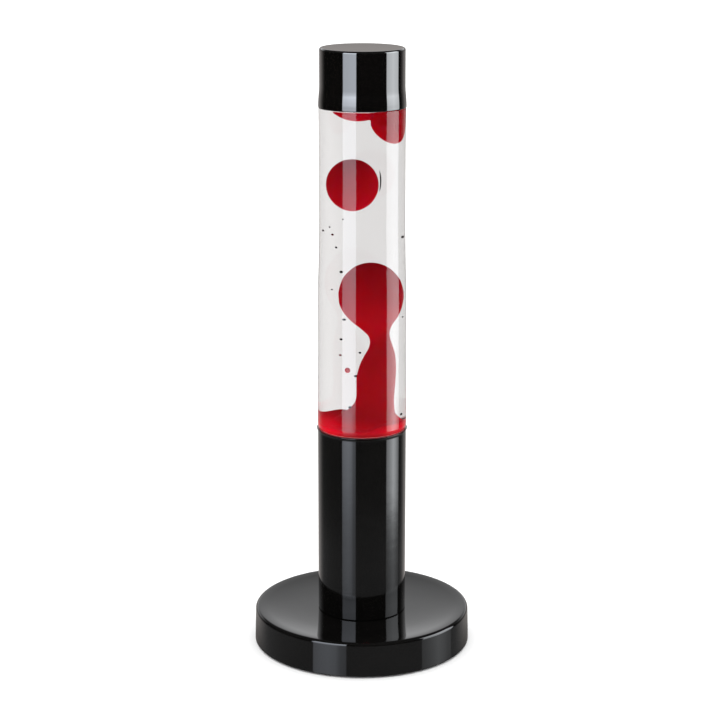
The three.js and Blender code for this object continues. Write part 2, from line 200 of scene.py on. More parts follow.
def sweep(name, pts, radius, mat, sides=12, closed=False):
    """Round wire along points (m)."""
    P = np.array(pts, float)
    n = len(P)
    T = np.gradient(P, axis=0)
    if closed:
        T = (np.roll(P, -1, 0) - np.roll(P, 1, 0))
    T /= np.linalg.norm(T, axis=1)[:, None]
    N = np.zeros_like(P)
    ref = np.array([0, 0, 1.0]) if abs(T[0][2]) < 0.9 else np.array([1.0, 0, 0])
    N[0] = np.cross(T[0], ref); N[0] /= np.linalg.norm(N[0])
    for i in range(1, n):
        v = N[i-1] - T[i] * np.dot(N[i-1], T[i])
        N[i] = v / np.linalg.norm(v)
    B = np.cross(T, N)
    verts, faces = [], []
    for i in range(n):
        for k in range(sides):
            a = 2 * math.pi * k / sides
            verts.append(P[i] + radius * (math.cos(a) * N[i] + math.sin(a) * B[i]))
    rng = n if closed else n - 1
    for i in range(rng):
        j = (i + 1) % n
        for k in range(sides):
            k2 = (k + 1) % sides
            faces.append((i*sides + k, i*sides + k2, j*sides + k2, j*sides + k))
    if not closed:
        faces.append(tuple(range(sides - 1, -1, -1)))
        faces.append(tuple((n-1)*sides + k for k in range(sides)))
    return mesh_object(name, verts, faces, mat, sharp=50)


# ---------------------------------------------------------------- materials
def nodes_of(name):
    m = bpy.data.materials.new(name)
    m.use_nodes = True
    nt = m.node_tree
    nt.nodes.clear()
    out = nt.nodes.new("ShaderNodeOutputMaterial")
    bs = nt.nodes.new("ShaderNodeBsdfPrincipled")
    nt.links.new(bs.outputs[0], out.inputs[0])
    return m, nt, bs


def noise(nt, scale, detail=3, rough=0.5, stretch=(1, 1, 1), distort=0.0):
    tc = nt.nodes.new("ShaderNodeTexCoord")
    mp = nt.nodes.new("ShaderNodeMapping")
    mp.inputs["Scale"].default_value = stretch
    nz = nt.nodes.new("ShaderNodeTexNoise")
    nz.inputs["Scale"].default_value = scale
    nz.inputs["Detail"].default_value = detail
    nz.inputs["Roughness"].default_value = rough
    nz.inputs["Distortion"].default_value = distort
    nt.links.new(tc.outputs["Object"], mp.inputs[0])
    nt.links.new(mp.outputs[0], nz.inputs["Vector"])
    return nz.outputs["Fac"]


def ramp(nt, fac, stops):
    r = nt.nodes.new("ShaderNodeValToRGB")
    e = r.color_ramp.elements
    while len(e) > 1: e.remove(e[-1])
    e[0].position, e[0].color = stops[0][0], (*stops[0][1], 1)
    for p, c in stops[1:]:
        q = e.new(p); q.color = (*c, 1)
    nt.links.new(fac, r.inputs[0])
    return r.outputs[0]


def maprange(nt, val, a, b, c, d, smooth=False):
    m = nt.nodes.new("ShaderNodeMapRange")
    if smooth: m.interpolation_type = "SMOOTHSTEP"
    for i, x in zip((1, 2, 3, 4), (a, b, c, d)): m.inputs[i].default_value = x
    nt.links.new(val, m.inputs[0])
    return m.outputs[0]


def math2(nt, op, a, b=None):
    m = nt.nodes.new("ShaderNodeMath"); m.operation = op
    for i, x in enumerate((a, b)):
        if x is None: continue
        if isinstance(x, (int, float)): m.inputs[i].default_value = x
        else: nt.links.new(x, m.inputs[i])
    return m.outputs[0]


def bump(nt, bs, height, strength, distance):
    b = nt.nodes.new("ShaderNodeBump")
    b.inputs["Strength"].default_value = strength
    b.inputs["Distance"].default_value = distance
    nt.links.new(height, b.inputs["Height"])
    nt.links.new(b.outputs[0], bs.inputs["Normal"])


def surface(name, dark, light, rough, metal=0.0, ior=1.5, scale=60, stretch=(1, 1, 1), rscale=None, bscale=None,
            bstrength=0.1, bdist=0.0001, coat=0.0, coat_rough=0.03, spec=0.5, detail=3, aniso=0.0):
    """General procedural surface: colour drifts between two tones, roughness and relief from noise."""
    m, nt, bs = nodes_of(name)
    n1 = noise(nt, scale, detail, 0.55, stretch)
    nt.links.new(ramp(nt, n1, [(0.3, dark), (0.7, light)]), bs.inputs["Base Color"])
    n2 = noise(nt, rscale or scale * 2.3, 4, 0.6, stretch)
    nt.links.new(maprange(nt, n2, 0.3, 0.7, rough[0], rough[1]), bs.inputs["Roughness"])
    bs.inputs["Metallic"].default_value = metal
    bs.inputs["IOR"].default_value = ior
    bs.inputs["Specular IOR Level"].default_value = spec
    if coat:
        bs.inputs["Coat Weight"].default_value = coat
        bs.inputs["Coat Roughness"].default_value = coat_rough
    if aniso: bs.inputs["Anisotropic"].default_value = aniso
    bump(nt, bs, noise(nt, bscale or scale * 4, 3, 0.5, stretch), bstrength, bdist)
    return m


def lacquer(name, ior, rough=(0.02, 0.05), tint=((0.0035, 0.003, 0.003), (0.006, 0.0055, 0.0055)), peel=0.02):
    """Gloss black: deep colour, faint orange peel, fine wiping marks that only roughen it."""
    m, nt, bs = nodes_of(name)
    n1 = noise(nt, 35, 3, 0.5)
    nt.links.new(ramp(nt, n1, [(0.3, tint[0]), (0.7, tint[1])]), bs.inputs["Base Color"])
    smear = noise(nt, 22, 5, 0.6, (1, 1, 0.35), 0.6)
    hair = noise(nt, 900, 2, 0.5, (1, 1, 0.04))
    r1 = maprange(nt, smear, 0.35, 0.75, rough[0], rough[1])
    r2 = maprange(nt, hair, 0.62, 0.8, 0.0, 0.03)
    nt.links.new(math2(nt, "ADD", r1, r2), bs.inputs["Roughness"])
    bs.inputs["IOR"].default_value = ior
    bump(nt, bs, noise(nt, 160, 2, 0.5), peel, 0.0002)
    return m


M = {}
M["cap"] = lacquer("cap_gloss_black", 1.97, tint=((0.0009, 0.0007, 0.0006), (0.0018, 0.0014, 0.0012)))
M["base"] = lacquer("base_gloss_black", 1.5, tint=((0.0016, 0.0015, 0.0014), (0.003, 0.0028, 0.0026)))


def turned_lacquer(name):
    """Gloss black over a drawn tube: the same deep black, with faint marks round the tube under the gloss."""
    m, nt, bs = nodes_of(name)
    n1 = noise(nt, 35, 3, 0.5)
    nt.links.new(ramp(nt, n1, [(0.3, (0.0016, 0.0015, 0.0014)), (0.7, (0.003, 0.0028, 0.0026))]), bs.inputs["Base Color"])
    marks = noise(nt, 24, 4, 0.6, (1, 1, 30.0))
    smear = noise(nt, 26, 4, 0.6, (1, 1, 0.5), 0.4)
    r1 = maprange(nt, smear, 0.35, 0.75, 0.05, 0.10)
    r2 = maprange(nt, marks, 0.55, 0.8, 0.0, 0.08)
    nt.links.new(math2(nt, "ADD", r1, r2), bs.inputs["Roughness"])
    bs.inputs["IOR"].default_value = 1.5
    bump(nt, bs, math2(nt, "ADD", math2(nt, "MULTIPLY", marks, .5), noise(nt, 150, 2, 0.5)), 0.07, 0.0002)
    return m


M["column"] = turned_lacquer("column_gloss_black")


def glass(name, ior, tint, wave=0.0, rough=0.0):
    m, nt, bs = nodes_of(name)
    bs.inputs["Base Color"].default_value = (*tint, 1)
    bs.inputs["Transmission Weight"].default_value = 1.0
    bs.inputs["IOR"].default_value = ior
    bs.inputs["Roughness"].default_value = rough
    if wave:
        bump(nt, bs, noise(nt, 28, 2, 0.4, (1, 1, 0.25)), wave, 0.0004)
    return m


M["glass"] = glass("clear_glass", 1.5, (0.915, 0.91, 0.908), wave=0.03)
M["wetted"] = glass("glass_against_liquid", 1.5 / 1.345, (0.915, 0.91, 0.908))
# painted highlight: this band just under the cap keeps a small whitish diffuse share, which paints a light line there
M["edge"] = glass("glass_shoulder_painted_highlight", 1.5, (0.99, 0.94, 0.935), wave=.05, rough=.06)
M["edge"].node_tree.nodes["Principled BSDF"].inputs["Transmission Weight"].default_value = .97
# painted highlight: a heel band painted pinkish white, partly diffuse and glowing, to show a bright line at the
# bottle's heel
M["seam"] = glass("heel_band_painted_highlight", 1.5, (1.0, 0.90, 0.90), wave=.05, rough=.3)
M["seam"].node_tree.nodes["Principled BSDF"].inputs["Transmission Weight"].default_value = .6
M["seam"].node_tree.nodes["Principled BSDF"].inputs["Emission Color"].default_value = (.9, .30, .31, 1)      # painted glow: the band emits light of its own, for light led down the wall that comes out at the heel
M["seam"].node_tree.nodes["Principled BSDF"].inputs["Emission Strength"].default_value = .45
M["liquid"] = glass("clear_liquid", 1.0, (0.995, 0.99, 0.985))


def wax_material():
    m, nt, bs = nodes_of("red_wax")
    n1 = noise(nt, 90, 4, 0.55)
    n2 = noise(nt, 420, 3, 0.5)
    mixed = math2(nt, "ADD", math2(nt, "MULTIPLY", n1, 0.7), math2(nt, "MULTIPLY", n2, 0.3))
    body = ramp(nt, mixed, [(0.3, (0.58, 0.0005, 0.0105)), (0.7, (0.68, 0.0008, 0.0135))])
    sep = nt.nodes.new("ShaderNodeSeparateXYZ")
    tc = nt.nodes.new("ShaderNodeTexCoord")
    nt.links.new(tc.outputs["Object"], sep.inputs[0])
    painted_low_light = maprange(nt, sep.outputs[2], 0.185, 0.150, 0, 1, True)          # painted light: the base colour is painted brighter low down, standing in for the pool lit from beneath
    mc = nt.nodes.new("ShaderNodeMix"); mc.data_type = "RGBA"
    nt.links.new(painted_low_light, mc.inputs[0]); nt.links.new(body, mc.inputs[6])
    mc.inputs[7].default_value = (0.96, 0.0012, 0.024, 1)
    nt.links.new(mc.outputs[2], bs.inputs["Base Color"])
    nt.links.new(maprange(nt, n1, 0.3, 0.7, 0.42, 0.55), bs.inputs["Roughness"])
    bs.inputs["Subsurface Weight"].default_value = 1.0
    bs.inputs["Subsurface Radius"].default_value = (1.0, 0.05, 0.06)
    bs.inputs["Subsurface Scale"].default_value = 0.008
    bs.inputs["IOR"].default_value = 1.03
    bump(nt, bs, n2, 0.04, 0.0002)
    # painted light, as emission: the lowest wax is painted glowing as if lit by the bulb under the bottle, most of all
    # beside the pillar
    left_ = maprange(nt, sep.outputs[0], -0.007, -0.021, 0.32, 1.0, True)
    right_ = maprange(nt, sep.outputs[0], 0.009, 0.022, 0.0, 0.42, True)
    painted_glow = math2(nt, "MULTIPLY", maprange(nt, sep.outputs[2], 0.167, 0.1565, 0, 1, True), math2(nt, "ADD", left_, right_))
    me_ = nt.nodes.new("ShaderNodeMix"); me_.data_type = "RGBA"
    nt.links.new(painted_glow, me_.inputs[0])
    me_.inputs[6].default_value = (0.0, 0.0, 0.0, 1); me_.inputs[7].default_value = (0.62, 0.0008, 0.011, 1)
    nt.links.new(me_.outputs[2], bs.inputs["Emission Color"])
    bs.inputs["Emission Strength"].default_value = 1.0
    return m


M["wax"] = wax_material()
M["drop"] = surface("deep_red_drop", (0.20, 0.0008, 0.008), (0.27, 0.001, 0.012), (0.4, 0.6), scale=800, ior=1.1)
M["speck"] = surface("dark_wax_speck", (0.006, 0.0008, 0.001), (0.016, 0.001, 0.002), (0.4, 0.6), scale=800, ior=1.1)
M["steel"] = surface("zinc_plated_steel", (0.45, 0.45, 0.44), (0.62, 0.61, 0.58), (0.22, 0.4), metal=1.0, scale=300, bscale=1200, bstrength=0.15, bdist=0.00005)
M["brass"] = surface("nickel_brass", (0.62, 0.46, 0.2), (0.78, 0.62, 0.32), (0.18, 0.38), metal=1.0, scale=250, bscale=1500, bstrength=0.12, bdist=0.00004)
M["iron"] = surface("rough_cast_iron", (0.03, 0.03, 0.032), (0.075, 0.07, 0.066), (0.55, 0.8), metal=0.5, scale=120, bscale=700, bstrength=0.7, bdist=0.0004)
M["white"] = surface("white_holder_plastic", (0.72, 0.70, 0.64), (0.8, 0.78, 0.72), (0.3, 0.45), scale=60, bscale=900, bstrength=0.15, bdist=0.00008)
M["blackplastic"] = surface("moulded_black_plastic", (0.012, 0.012, 0.013), (0.024, 0.024, 0.026), (0.45, 0.62), scale=80, bscale=1600, bstrength=0.4, bdist=0.00012)
M["rubber"] = surface("black_rubber", (0.012, 0.012, 0.012), (0.03, 0.03, 0.03), (0.7, 0.9), scale=150, bscale=2200, bstrength=0.4, bdist=0.0001)
M["foam"] = surface("foam_liner", (0.6, 0.6, 0.57), (0.78, 0.78, 0.75), (0.85, 1.0), scale=400, bscale=2600, bstrength=0.9, bdist=0.0004)
M["ceramic"] = surface("holder_ceramic", (0.74, 0.72, 0.66), (0.82, 0.8, 0.75), (0.25, 0.4), scale=90, bscale=800, bstrength=0.15, bdist=0.0001)
M["tungsten"] = surface("tungsten_wire", (0.2, 0.2, 0.2), (0.3, 0.3, 0.3), (0.3, 0.5), metal=1.0, scale=900)
M["solder"] = surface("solder", (0.5, 0.5, 0.5), (0.65, 0.65, 0.66), (0.25, 0.4), metal=1.0, scale=900, bscale=2000, bstrength=0.3)
M["mirror"] = surface("silvered_envelope", (0.76, 0.77, 0.78), (0.84, 0.84, 0.85), (0.08, 0.16), metal=1.0, scale=40, bscale=90, bstrength=0.03, bdist=0.0003, coat=0.6)
M["frost"] = surface("frosted_envelope", (0.8, 0.8, 0.79), (0.88, 0.88, 0.87), (0.45, 0.6), scale=120, bscale=3000, bstrength=0.1, bdist=0.00003)
M["vitrite"] = surface("black_vitrite", (0.01, 0.01, 0.012), (0.02, 0.02, 0.024), (0.12, 0.3), scale=300)


def piece(ob, body, slot, *nodes):
    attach(ob, body)
    if nodes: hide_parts(*nodes)
    return ob


# ---------------------------------------------------------------- base
cover_prof = outline([
    (5.4, 23.5, 0.3), (31, 23.5), (50, 23.9), (60, 24.35), (66, 24.72), (70.0, 25.02), (74.42, 25.1, 2.6), (75.0, 1.2, 0.45),
    (72.8, 1.2, 0.4), (72.25, 21.1, 1.0), (70.6, 22.9, 1.0), (30.4, 21.3), (5.4, 21.3, 0.3)], steps=10)
cover = lathe("base_cover_shell", cover_prof, M["base"], seg=224, sharp=40)


def rod(r, z0, z1, x, y, seg=32, mat=None, name="cutter"):
    return lathe(name, [(0, z0), (r, z0), (r, z1), (0, z1)], mat or M["base"], seg=seg, axis_shift=(x, y))


for i in range(3):
    a = math.pi / 6 + i * 2 * math.pi / 3
    boolean(cover, rod(1.9, 15, 30, 20 * math.cos(a), 20 * math.sin(a)), sharp=40)
for i in range(4):
    a = math.pi / 4 + i * math.pi / 2
    x, y = 64.5 * math.cos(a), 64.5 * math.sin(a)
    boolean(cover, rod(4, 4.4, 23.4, x, y, 40), "UNION", sharp=40)
    boolean(cover, rod(1.7, 4, 14, x, y), sharp=40)
turn = Matrix.Rotation(-math.pi / 2, 4, "X")
hole = lathe("cutter", [(0, 64), (4.6, 64), (4.6, 84), (0, 84)], M["base"], seg=48, place=Matrix.Translation((0, 0, 0.0115)) @ turn)
boolean(cover, hole, sharp=40)
piece(cover, "base", "gloss_black", "base_cover")

weight = lathe("ballast_ring", outline([(25, 5, 1), (57.5, 5, 1.2), (57.5, 15, 1.5), (25, 15, 1.2), (25, 9)]), M["iron"], seg=144,
               mod=lambda t, r, z: (r + 0.12 * math.sin(7 * t) + 0.08 * math.sin(19 * t + 1), z))
slotcut = mesh_object("cutter", [(x * .0045, y, z) for x in (-1, 1) for y in (.02, .09) for z in (-.02, .04)],
                      [(0, 1, 3, 2), (4, 6, 7, 5), (0, 4, 5, 1), (2, 3, 7, 6), (0, 2, 6, 4), (1, 5, 7, 3)], M["iron"])
boolean(weight, slotcut)
piece(weight, "base", "cast_iron", "base_weight")

plate = lathe("base_closing_plate", outline([(0, 2.3), (20, 2.3), (22, 2.7, .5), (50, 2.7, .5), (52, 2.3, .5), (71.8, 2.3, .5), (71.8, 4.1, .5), (0, 4.1)]), M["blackplastic"], seg=160)
for i in range(4):
    a = math.pi / 4 + i * math.pi / 2
    boolean(plate, rod(1.9, 0, 8, 64.5 * math.cos(a), 64.5 * math.sin(a)))
piece(plate, "base", "black_plastic", "base_plate")


def screw(name, head, z_head, z_under, r_head, r_shank, z_tip, x, y, mat, cross=True, pitch=1.0, seg=40):
    """Pan-head screw pointing up: head below, helical thread on the shank."""
    prof = [(0, z_head), (r_head * .55, z_head + .08), (r_head * .82, z_head + .35), (r_head * .97, z_head + .75), (r_head, z_under - .15), (r_head - .12, z_under)]
    prof += [(r_shank + .15, z_under), (r_shank, z_under + .25)]
    z = z_under + .3
    n = 0
    while z < z_tip - 1.0:
        prof.append((r_shank, z)); z += pitch / 6
        n += 1
    prof += [(r_shank * .8, z_tip - .7), (r_shank * .4, z_tip - .15), (0, z_tip)]
    lo, hi = z_under + .8, z_tip - 1.0

    def mod(t, r, z):
        if lo < z < hi and r > r_shank * .9:
            ph = (z / pitch - t / (2 * math.pi)) % 1.0
            return r_shank * (.80 + .24 * max(0.0, 1 - abs(ph - .5) * 3.2)), z
        return r, z
    ob = lathe(name, prof, mat, seg=seg, mod=mod, axis_shift=(x, y), sharp=30)
    w = r_head * .13
    for k in range(2 if cross else 1):
        L = r_head * (.62 if cross else 1.3)
        pts = [(sx * L, sy * w, z) for sx in (-1, 1) for sy in (-1, 1) for z in (z_head - 1, z_head + (1.0 if cross else .7))]
        ang = k * math.pi / 2 + .4
        R = Matrix.Rotation(ang, 3, "Z")
        pts = [tuple((R @ Vector(p) + Vector((x, y, 0))) * MM) for p in pts]
        c = mesh_object("cutter", pts, [(0, 1, 3, 2), (4, 6, 7, 5), (0, 4, 5, 1), (2, 3, 7, 6), (0, 2, 6, 4), (1, 5, 7, 3)], mat)
        boolean(ob, c, sharp=30)
    return ob


for i in range(4):
    a = math.pi / 4 + i * math.pi / 2
    s = screw(f"plate_screw_{i+1}_detail", True, .9, 2.1, 3.1, 1.35, 13.6, 64.5 * math.cos(a), 64.5 * math.sin(a), M["steel"])
    piece(s, "base", "steel", f"plate_screw_{i+1}")
for i in range(3):
    a = math.pi / 6 + i * 2 * math.pi / 3
    s = screw(f"column_screw_{i+1}_detail", True, 18.2, 21.0, 3.2, 1.4, 30.2, 20 * math.cos(a), 20 * math.sin(a), M["steel"])
    piece(s, "base", "steel", f"column_screw_{i+1}")
for i in range(4):
    a = i * math.pi / 2
    f = lathe(f"rubber_foot_{i+1}_pad", outline([(0, .25), (3.2, .25, .4), (3.9, 0, .3), (6.3, 0, .6), (7.0, 2.2, .3), (0, 2.2)]), M["rubber"], seg=64,
              axis_shift=(61 * math.cos(a), 61 * math.sin(a)))
    piece(f, "base", "rubber", f"rubber_foot_{i+1}")
g = lathe("lead_entry_bush", outline([(2.6, 69.7, .5), (6.2, 69.7, .6), (6.2, 71.4, .3), (4.25, 71.5, .2), (4.25, 75.2, .2), (5.9, 75.3, .3), (5.6, 76.8, .8), (2.6, 76.8, .6), (2.6, 73)]),
          M["rubber"], seg=72, place=Matrix.Translation((0, 0, .0115)) @ turn)
piece(g, "base", "rubber", "cable_grommet")

# ---------------------------------------------------------------- column
zs = np.linspace(152.6, 154.6, 16)
flare = [(r, z) for r, z in zip(pchip([152.6, 153.3, 153.8, 154.25, 154.6], [30.35, 30.41, 30.68, 31.02, 31.1], zs), zs)]
col_prof = [(28.35, 23.9), (28.5, 23.72), (30.0, 23.7), (30.2, 23.78), (30.33, 23.95), (30.35, 24.3), (30.35, 30), (30.35, 90), (30.35, 140), (30.35, 152.0)]
col_prof += flare + [(31.02, 154.74), (30.86, 154.86), (30.62, 154.9), (29.2, 154.9), (28.6, 154.85), (28.42, 154.72), (28.35, 154.5), (28.35, 150), (28.35, 90), (28.35, 30)]
column = lathe("column_tube_shell", col_prof, M["column"], seg=192, sharp=45)
piece(column, "base", "gloss_black", "column_tube")

cf = lathe("column_foot_moulding", outline([(5.4, 24.0, .2), (28.05, 24.0, .4), (28.05, 36.0, .4), (26.05, 36.0, .4), (26.05, 28.0, .8), (5.4, 28.0, .3)]), M["blackplastic"], seg=128)
for i in range(3):
    a = math.pi / 6 + i * 2 * math.pi / 3
    boolean(cf, rod(1.75, 20, 30.4, 20 * math.cos(a), 20 * math.sin(a)))
piece(cf, "base", "black_plastic", "column_foot")
seat = lathe("bottle_seat_ring", outline([(24.2, 140.6, .3), (28.05, 140.6, .3), (28.05, 154.5, .2), (26.75, 154.5, .4), (26.7, 142.4, .3), (24.2, 142.4, .3)]), M["blackplastic"], seg=144)
piece(seat, "base", "black_plastic", "bottle_seat")


# ---------------------------------------------------------------- lampholder
def thread_mod(r0, depth, pitch, z0, z1, only=None):
    def f(t, r, z):
        if z0 < z < z1 and (only is None or only(r)):
            e = min(1, (z - z0) / (pitch * .6), (z1 - z) / (pitch * .6))
            ph = z / pitch - t / (2 * math.pi)
            return r + depth * e * math.sin(2 * math.pi * ph), z
        return r, z
    return f


nip = [(3.6, 13.5), (4.5, 13.5)] + [(4.86, 13.7 + .17 * i) for i in range(139)] + [(4.5, 37.4), (3.6, 37.4)]
piece(lathe("hollow_threaded_rod", nip, M["steel"], seg=48, mod=thread_mod(4.86, .13, 1.0, 13.6, 37.3, lambda r: r > 4.6)), "base", "steel", "threaded_nipple")


def hexnut(name, z0, z1):
    def mod(t, r, z):
        if r > 6.5:
            q = ((t + math.pi / 6) % (math.pi / 3)) - math.pi / 6
            flat = 7.0 / math.cos(q)
            edge = 8.05 - (0.55 if (z < z0 + .1 or z > z1 - .1) else 0.0) - (0.15 if (z < z0 + .45 or z > z1 - .45) else 0.0)
            return min(flat, edge), z
        return r, z
    return lathe(name, [(5.35, z0 + .3), (5.7, z0), (7.4, z0), (8.0, z0 + .4), (8.05, z0 + .9), (8.05, z1 - .9), (8.0, z1 - .4), (7.4, z1), (5.7, z1), (5.35, z1 - .3)],
                 M["steel"], seg=96, mod=mod, sharp=28)


piece(hexnut("rod_nut_lower", 17.9, 20.9), "base", "steel", "nipple_nut_lower")
piece(hexnut("rod_nut_upper", 28.4, 31.4), "base", "steel", "nipple_nut_upper")


def ribs(n, depth, z0, z1, rmin):
    def f(t, r, z):
        if r > rmin and z0 < z < z1:
            return r - depth * (0.5 + 0.5 * math.cos(n * t)) ** 3, z
        return r, z
    return f


piece(lathe("holder_lower_cap", outline([(5.4, 32.0, .3), (9.5, 32.0, .8), (12.6, 36.5, 2), (14.0, 42.0, 1), (14.0, 50.6, .4), (12.4, 50.6, .2), (12.4, 43.0, 1), (10.6, 38.6, .6), (5.4, 38.6, .2)]),
            M["white"], seg=96), "base", "white_plastic", "holder_cap")
core = lathe("holder_core_block", outline([(0, 48), (11.8, 48, .4), (11.8, 57, .3), (9.4, 57, .2), (9.4, 56, .2), (0, 56)]), M["ceramic"], seg=96)
for s in (-1, 1):
    boolean(core, rod(1.9, 46, 51.2, 6.8 * s, 0))
piece(core, "base", "ceramic", "holder_core")
for i, s in enumerate((-1, 1)):
    t = screw(f"terminal_screw_{i+1}_detail", True, 44.6, 46.4, 2.8, 1.5, 50.6, 6.8 * s, 0, M["brass"], cross=False, pitch=.7)
    piece(t, "base", "brass", f"terminal_screw_{i+1}")
hs = [(12.2, 51.2), (12.4, 51.0), (13.8, 51.0), (14.0, 51.3)] + [(14.0, 52 + i * .8) for i in range(32)] + \
     [(14.0, 77.6), (13.85, 78.3), (13.4, 78.8), (12.9, 79.0), (9.7, 79.0), (9.4, 78.7), (9.4, 60.2), (12.1, 57.8), (12.2, 57.4)]
piece(lathe("holder_outer_sleeve", hs, M["white"], seg=144, mod=ribs(24, .45, 54, 75, 13.9)), "base", "white_plastic", "holder_shell")
sleeve_prof = [(7.93, 60.4 + i * .27) for i in range(61)] + [(8.45, 76.6 - i * .27) for i in range(61)]
piece(lathe("holder_thread_sleeve", sleeve_prof, M["brass"], seg=64, mod=thread_mod(0, .17, 2.82, 60.4, 76.6)), "base", "brass", "thread_sleeve")
tongue = []
for i in range(25):
    u = i / 24
    x = -5.9 + 8.5 * u
    z = 56.35 + 2.05 * max(0.0, (u - .1) / .9) ** 1.1 - (0.35 * max(0, (u - .9) / .1))
    tongue.append((x, z))
tv, tf = [], []
for x, z in tongue:
    for y in (-1.95, -1.2, 0, 1.2, 1.95):
        w = 1.0 - .25 * max(0, (x + 1) / 3.6)
        tv.append((x * MM, y * w * MM, (z + .42) * MM))
    for y in (1.95, 1.2, 0, -1.2, -1.95):
        w = 1.0 - .25 * max(0, (x + 1) / 3.6)
        tv.append((x * MM, y * w * MM, z * MM))
for i in range(len(tongue) - 1):
    for k in range(10):
        k2 = (k + 1) % 10
        tf.append((i * 10 + k, i * 10 + k2, (i + 1) * 10 + k2, (i + 1) * 10 + k))
tf.append(tuple(range(9, -1, -1))); tf.append(tuple((len(tongue) - 1) * 10 + k for k in range(10)))
piece(mesh_object("centre_contact_tongue", tv, tf, M["brass"]), "base", "brass", "centre_contact")

# ---------------------------------------------------------------- bulb
piece(lathe("bulb_solder_contact", [(0, 59.4), (.8, 59.45), (1.6, 59.65), (2.1, 60.0), (2.3, 60.4), (2.3, 60.5), (0, 60.5)], M["solder"], seg=40), "bulb", "steel", "bulb_contact")
piece(lathe("bulb_vitrite", outline([(0, 60.8), (3.0, 60.8, .3), (5.3, 63.3, .3), (5.3, 64.2, .1), (0, 64.2)]), M["vitrite"], seg=64), "bulb", "black_plastic", "bulb_insulator")
bc = [(5.6, 63.9), (5.9, 63.82), (6.3, 64.0), (6.65, 64.3)] + [(6.74, 64.6 + i * .27) for i in range(61)] + [(6.85, 81.3), (6.9, 84.2), (6.8, 84.4), (6.4, 84.4), (6.3, 84.2), (6.3, 81.3)] + \
     [(6.25, 80.8 - i * .27) for i in range(61)]
piece(lathe("bulb_screw_cap", bc, M["brass"], seg=64, mod=thread_mod(0, .2, 2.82, 64.4, 80.9)), "bulb", "brass", "bulb_cap")
bo_z = [79.5, 83, 87.5, 91.5, 96.5, 102, 107.5, 111.2, 114.5, 117.4, 119.6, 121.6, 123.2, 124.3, 125.0, 125.4]
bo_r = [5.6, 5.62, 5.75, 7.8, 11.5, 15.4, 18.1, 19.1, 19.5, 19.2, 18.3, 16.6, 13.8, 10.6, 6.6, 0]
outer = []
for i, u in enumerate(np.linspace(0, 1, 90)):
    k = u * (len(bo_z) - 1)
    outer.append((float(pchip(range(16), bo_r, [k])[0]), float(pchip(range(16), bo_z, [k])[0])))
outer[-1] = (0, 125.4)
innerb = [(max(0.0, r - .75) if z < 118 else max(0.0, r - .6), z - (0.0 if z < 112 else .75)) for r, z in outer]
innerb[-1] = (0, 124.6)
innerb = [q for q in innerb[:-1] if q[0] > 0.2] + [(0, 124.6)]
n_out = len(outer)
bg = lathe("bulb_envelope", outer + innerb[::-1], None, seg=96, mats=[M["mirror"], M["frost"]],
           mat_of=lambda i: 1 if (i < n_out and outer[min(i, n_out - 1)][1] > 115.0) or (i >= n_out and innerb[::-1][min(i - n_out, len(innerb) - 1)][1] > 115.0) else 0, sharp=50)
piece(bg, "bulb", "silvered_glass", "bulb_glass")
M["stemglass"] = glass("stem_glass", 1.5, (0.95, 0.95, 0.95), wave=.05)
piece(lathe("bulb_stem_glass", outline([(0, 79.8), (4.3, 79.8, .4), (3.6, 83, 1), (1.9, 86, 1), (1.7, 98, .6), (0, 98.4)]), M["stemglass"], seg=40), "bulb", "clear_glass", "bulb_stem")
fil = []
for i in range(260):
    u = i / 259
    a = -math.pi * 5 / 6 + u * math.pi * 5 / 3
    c = Vector((8 * math.cos(a), 8 * math.sin(a), 107 + .25 * math.sin(6 * math.pi * u)))
    t = 2 * math.pi * 60 * u
    out_ = Vector((math.cos(a), math.sin(a), 0))
    fil.append((c + .22 * (math.cos(t) * out_ + math.sin(t) * Vector((0, 0, 1)))) * MM)
lead1 = [Vector((-2.2 - 4.7 * (i / 12) ** 1.5, -.9 - 3.1 * (i / 12), 99.2 + 7.8 * (i / 12))) * MM for i in range(12)]
lead2 = [Vector((p[0], -p[1], p[2])) for p in lead1]
piece(sweep("filament_coil", lead1 + fil + lead2[::-1], .00012, M["tungsten"], sides=6), "bulb", "steel", "filament")

# ---------------------------------------------------------------- bottle
GO_Z = [157.2, 159.2, 173.4, 199.2, 216, 242, 256, 266.5, 285, 303, 345, 360, 372.0]
GO_R = [30.36, 30.42, 30.38, 30.1, 30.0, 30.05, 29.86, 29.5, 29.18, 29.0, 28.95, 29.05, 29.15]
zz = np.linspace(159.2, 372.0, 60)
wall_out = list(zip(pchip(GO_Z, GO_R, zz), zz)) + [(29.14, 373.2), (29.13, 374.2), (29.12, 375.0)]
heel = [(26.35, 154.2), (26.42, 154.65), (26.65, 154.93), (27.1, 154.97), (28.4, 154.97), (28.95, 155.0), (29.4, 155.12), (29.8, 155.42), (30.1, 155.9), (30.28, 156.6), (30.38, 157.5), (30.42, 158.6)]
foot_out = [(0, 143.95), (10, 143.9), (19.5, 143.75), (21.2, 143.45), (22.4, 143.4), (24.2, 143.4), (25.2, 143.6), (25.9, 144.1), (26.25, 144.8), (26.35, 145.7), (26.35, 150)]
shoulder_out = [(29.1, 375.12), (29.02, 375.2), (28.9, 375.25), (28.6, 375.28), (28.1, 375.28), (27.8, 375.32), (27.55, 375.5), (27.35, 375.9), (27.28, 376.4), (27.15, 377.6), (26.8, 379.6), (26.1, 381.6), (24.8, 383.6), (22.8, 385.7), (20.2, 387.7),
                (17.6, 389.4), (15.6, 391.2), (14.4, 393.2), (14.05, 395.2), (14.0, 397.0), (14.0, 402.6), (13.85, 403.4), (13.4, 403.9), (12.7, 404.0), (12.0, 403.9), (11.55, 403.5), (11.4, 402.8)]
wz = np.linspace(372.0, 159.5, 60)
wall_in = list(zip(pchip(GO_Z, GO_R, wz) - 2.3, wz))
inner_top = [(11.4, 397.2), (11.4, 396.8), (11.4, 394.4), (11.7, 392.6), (12.7, 390.6), (15.0, 388.6), (18.0, 386.4), (20.8, 384.2), (23.2, 381.8), (25.0, 379.2), (26.1, 376.8), (26.7, 374.4)]
